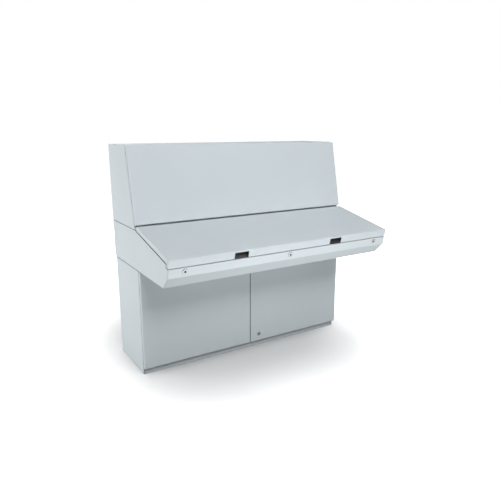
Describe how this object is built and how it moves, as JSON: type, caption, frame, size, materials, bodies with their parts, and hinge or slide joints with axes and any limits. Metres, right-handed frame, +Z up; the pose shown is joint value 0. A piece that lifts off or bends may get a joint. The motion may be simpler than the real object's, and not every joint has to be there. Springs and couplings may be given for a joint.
{
  "type": "industrial control console",
  "caption": "Sheet-steel control console with a base cabinet behind hinged doors, a projecting desk under a gas-sprung lifting lid and a sloped upper instrument panel.",
  "frame": {"origin": "on the floor, under the middle of the overall width and depth", "axes": "+X to the right along the width, seen from the front; +Y from the front to the rear; +Z up"},
  "size_m": [1.6, 0.9493, 1.45],
  "materials": {
    "light_grey_paint": "fine-textured light grey powder coat",
    "zinc_plate": "zinc-plated steel",
    "chrome": "bright chrome on die-cast lock bodies",
    "black_plastic": "moulded black polyamide",
    "black_foam": "foamed-in-place gasket",
    "black_tube": "black enamel"
  },
  "bodies": {
    "console_body": {"base_door_frame": "light_grey_paint", "base_floor": "light_grey_paint", "base_gland_plate": "zinc_plate", "base_left_side": "light_grey_paint", "base_mounting_plate": "zinc_plate", "base_rear_panel": "light_grey_paint", "base_right_side": "light_grey_paint", "desk_front_and_floor": "light_grey_paint", "desk_left_side": "light_grey_paint", "desk_rear_and_deck": "light_grey_paint", "desk_right_side": "light_grey_paint", "desk_rim": "light_grey_paint", "left_door_lower_hinge_bracket": "zinc_plate", "left_door_upper_hinge_bracket": "zinc_plate", "lid_left_hinge_bracket": "zinc_plate", "lid_left_lock_housing": "chrome", "lid_middle_lock_housing": "chrome", "lid_right_hinge_bracket": "zinc_plate", "lid_right_lock_housing": "chrome", "right_door_lower_hinge_bracket": "zinc_plate", "right_door_upper_hinge_bracket": "zinc_plate", "upper_front_panel": "light_grey_paint", "upper_left_side": "light_grey_paint", "upper_rear_panel": "light_grey_paint", "upper_right_side": "light_grey_paint", "upper_rim": "light_grey_paint", "upper_seal": "black_foam", "upper_top": "light_grey_paint"},
    "left_door": {"base_left_door": "light_grey_paint", "left_door_seal": "black_foam", "left_door_lower_hinge_leaf": "zinc_plate", "left_door_upper_hinge_leaf": "zinc_plate"},
    "left_door_upper_bolt": {"left_door_upper_bolt": "zinc_plate"},
    "left_door_lower_bolt": {"left_door_lower_bolt": "zinc_plate"},
    "right_door": {"base_right_door": "light_grey_paint", "right_door_seal": "black_foam", "door_lower_lock_housing": "chrome", "door_upper_lock_housing": "chrome", "right_door_lower_hinge_leaf": "zinc_plate", "right_door_upper_hinge_leaf": "zinc_plate"},
    "door_lower_lock": {"door_lower_lock_core": "zinc_plate"},
    "door_upper_lock": {"door_upper_lock_core": "zinc_plate"},
    "lid": {"desk_lid": "light_grey_paint", "lid_seal": "black_foam", "lid_left_grip": "black_plastic", "lid_right_grip": "black_plastic", "lid_left_hinge_leaf": "zinc_plate", "lid_right_hinge_leaf": "zinc_plate", "lid_left_keeper": "zinc_plate", "lid_middle_keeper": "zinc_plate", "lid_right_keeper": "zinc_plate", "left_stay_plate": "zinc_plate", "right_stay_plate": "zinc_plate"},
    "lid_left_lock": {"lid_left_lock_core": "zinc_plate"},
    "lid_middle_lock": {"lid_middle_lock_core": "zinc_plate"},
    "lid_right_lock": {"lid_right_lock_core": "zinc_plate"},
    "left_gas_spring_tube": {"left_gas_spring_tube": "black_tube"},
    "left_gas_spring_rod": {"left_gas_spring_rod": "zinc_plate"},
    "right_gas_spring_tube": {"right_gas_spring_tube": "black_tube"},
    "right_gas_spring_rod": {"right_gas_spring_rod": "zinc_plate"}
  },
  "joints": [
    {"name": "left_door_hinge", "type": "hinge", "parent": "console_body", "child": "left_door", "pos_m": [-0.785, 0.014, 0.134], "axis": [0, 0, -1], "range_deg": [0, 100]},
    {"name": "left_door_upper_bolt_slide", "type": "slide", "parent": "left_door", "child": "left_door_upper_bolt", "axis": [0, 0, 1], "range_m": [0, 0.02]},
    {"name": "left_door_lower_bolt_slide", "type": "slide", "parent": "left_door", "child": "left_door_lower_bolt", "axis": [0, 0, -1], "range_m": [0, 0.02]},
    {"name": "right_door_hinge", "type": "hinge", "parent": "console_body", "child": "right_door", "pos_m": [0.785, 0.014, 0.134], "axis": [0, 0, 1], "range_deg": [0, 100]},
    {"name": "door_lower_lock_turn", "type": "hinge", "parent": "right_door", "child": "door_lower_lock", "pos_m": [0.073, 0.004, 0.096], "axis": [0, -1, 0], "range_deg": [0, 90]},
    {"name": "door_upper_lock_turn", "type": "hinge", "parent": "right_door", "child": "door_upper_lock", "pos_m": [0.073, 0.004, 0.64], "axis": [0, 1, 0], "range_deg": [0, 90]},
    {"name": "lid_hinge", "type": "hinge", "parent": "console_body", "child": "lid", "pos_m": [0, -0.00528, 0.96448], "axis": [-1, 0, 0], "range_deg": [0, 58]},
    {"name": "lid_left_lock_turn", "type": "hinge", "parent": "console_body", "child": "lid_left_lock", "pos_m": [-0.7, -0.45909, 0.80003], "axis": [0, 0.9781, 0.2079], "range_deg": [0, 90]},
    {"name": "lid_middle_lock_turn", "type": "hinge", "parent": "console_body", "child": "lid_middle_lock", "pos_m": [0, -0.45909, 0.80003], "axis": [0, 0.9781, 0.2079], "range_deg": [0, 90]},
    {"name": "lid_right_lock_turn", "type": "hinge", "parent": "console_body", "child": "lid_right_lock", "pos_m": [0.7, -0.45909, 0.80003], "axis": [0, -0.9781, -0.2079], "range_deg": [0, 90]},
    {"name": "left_gas_spring_swing", "type": "hinge", "parent": "console_body", "child": "left_gas_spring_tube", "pos_m": [-0.75, -0.03698, 0.89651], "axis": [-1, 0, 0], "range_deg": [0, 57.7]},
    {"name": "left_gas_spring_stroke", "type": "slide", "parent": "left_gas_spring_tube", "child": "left_gas_spring_rod", "axis": [0, -0.9991, -0.0427], "range_m": [0, 0.0728]},
    {"name": "right_gas_spring_swing", "type": "hinge", "parent": "console_body", "child": "right_gas_spring_tube", "pos_m": [0.75, -0.03698, 0.89651], "axis": [-1, 0, 0], "range_deg": [0, 57.7]},
    {"name": "right_gas_spring_stroke", "type": "slide", "parent": "right_gas_spring_tube", "child": "right_gas_spring_rod", "axis": [0, -0.9991, -0.0427], "range_m": [0, 0.0728]}
  ],
  "couplings": [
    {"joint": "left_gas_spring_swing", "follows": "lid_hinge", "ratio": 0.99411},
    {"joint": "left_gas_spring_stroke", "follows": "lid_hinge", "m_per_rad": 0.071818},
    {"joint": "right_gas_spring_swing", "follows": "lid_hinge", "ratio": 0.99411},
    {"joint": "right_gas_spring_stroke", "follows": "lid_hinge", "m_per_rad": 0.071818}
  ]
}
